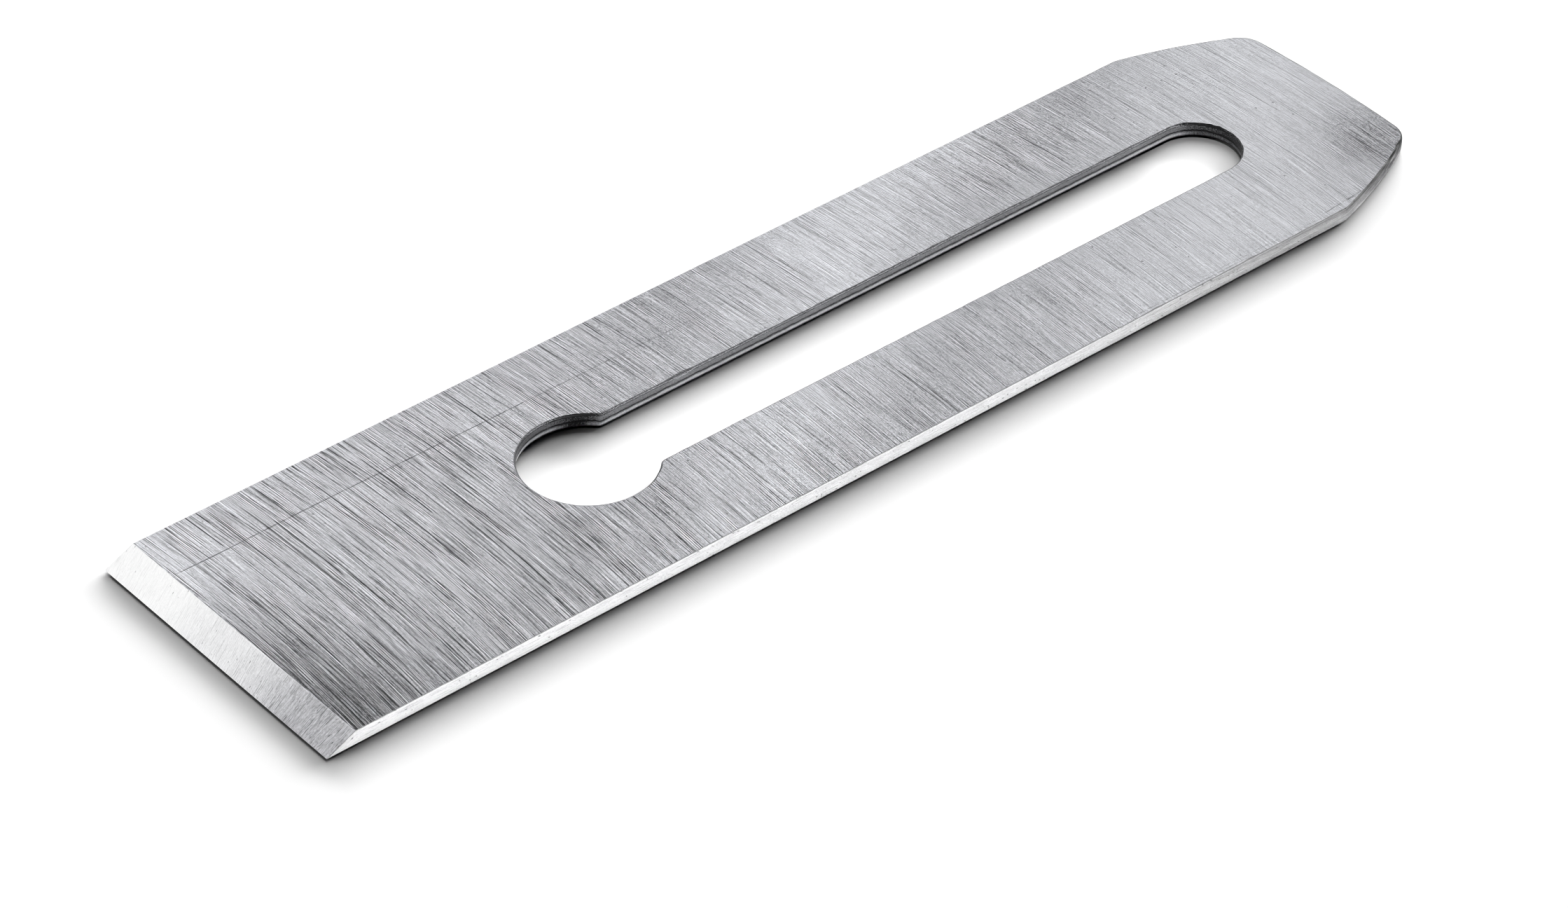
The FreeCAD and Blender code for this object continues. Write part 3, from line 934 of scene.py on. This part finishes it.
def add_softbox(name, azimuth, elevation, distance, width, height, radiance, on_steel):
    """Area light aimed at the blade, seen either in the steel or by the floor."""
    lamp = add_area_light(name, width, height)
    lamp.data.energy = radiance * math.pi * width * height
    direction = toward(azimuth, elevation)
    lamp.location = direction * distance
    lamp.rotation_euler = direction.to_track_quat("Z", "Y").to_euler()
    lamp.visible_diffuse = not on_steel
    lamp.visible_glossy = on_steel


def add_strip(name, x, length, width, irradiance):
    """Narrow soft light right above the slot, in millimetres, which lifts the shadows inside it."""
    lamp = add_area_light(name, length * MM, width * MM)
    lamp.data.spread = STRIP_SPREAD
    reach = STRIP_HEIGHT * math.tan(STRIP_SPREAD / 2)
    lamp.data.energy = irradiance * (length + reach) * (width + reach) * MM * MM
    lamp.location = Vector((x, 0, STRIP_HEIGHT)) * MM
    lamp.visible_glossy = False


def add_studio():
    """Soft raking key from behind the back end, which draws the shadows; cards for the steel.

    The world is mirrored by the steel but does not light the floor. The light tree is off
    because it gives narrow lights such as the strips too few samples, and reflective caustics
    are off so that the steel throws no speckle on the floor.
    """
    world = bpy.data.worlds.new("studio")
    bpy.context.scene.world = world
    world.use_nodes = True
    background = world.node_tree.nodes["Background"]
    background.inputs["Color"].default_value = (1, 1, 1, 1)
    background.inputs["Strength"].default_value = WORLD_RADIANCE
    world.cycles_visibility.diffuse = False
    bpy.context.scene.cycles.caustics_reflective = False
    bpy.context.scene.cycles.use_light_tree = False
    for light in FLOOR_LIGHTS:
        add_softbox(*light, on_steel=False)
    for strip in SLOT_STRIPS:
        add_strip(*strip)
    for card in STEEL_CARDS:
        add_softbox(*card, on_steel=True)


def add_floor():
    """A white floor that takes the shadows."""
    bpy.ops.mesh.primitive_plane_add(size=FLOOR_SIZE, location=(0, 0, -FLOOR_GAP * MM))
    floor = bpy.context.object
    floor.name = "studio_floor"
    material = bpy.data.materials.new("white_floor")
    material.use_nodes = True
    shader = material.node_tree.nodes["Principled BSDF"]
    shader.inputs["Base Color"].default_value = (FLOOR_WHITE, FLOOR_WHITE, FLOOR_WHITE, 1)
    shader.inputs["Roughness"].default_value = 0.9
    shader.inputs["Specular IOR Level"].default_value = 0.0
    floor.data.materials.append(material)


def add_camera():
    camera = bpy.data.cameras.new("camera")
    camera.sensor_width = 36.0
    camera.lens = CAMERA_LENS
    viewer = bpy.data.objects.new("camera", camera)
    bpy.context.scene.collection.objects.link(viewer)
    back = toward(CAMERA_AZIMUTH, CAMERA_ELEVATION)
    right = Vector((0, 0, 1)).cross(back).normalized()
    level = Matrix((right, back.cross(right), back)).transposed()
    turn = level @ Matrix.Rotation(math.radians(CAMERA_ROLL), 3, "Z")
    place = (Vector(CAMERA_TARGET) + back * CAMERA_DISTANCE) * MM
    viewer.matrix_world = Matrix.Translation(place) @ turn.to_4x4()
    bpy.context.scene.camera = viewer


def main():
    blade = bpy.data.objects.new("plane_iron_steel", plane_iron_mesh())
    bpy.context.scene.collection.objects.link(blade)
    for material in (ground_steel(), bevel_steel(), side_steel(), punched_steel()):
        blade.data.materials.append(material)
    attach(blade, "root")
    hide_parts("plane_iron")
    add_floor()
    add_studio()
    add_camera()
    bpy.context.scene.view_settings.view_transform = "Standard"
    bpy.context.scene.cycles.filter_width = PIXEL_FILTER


main()
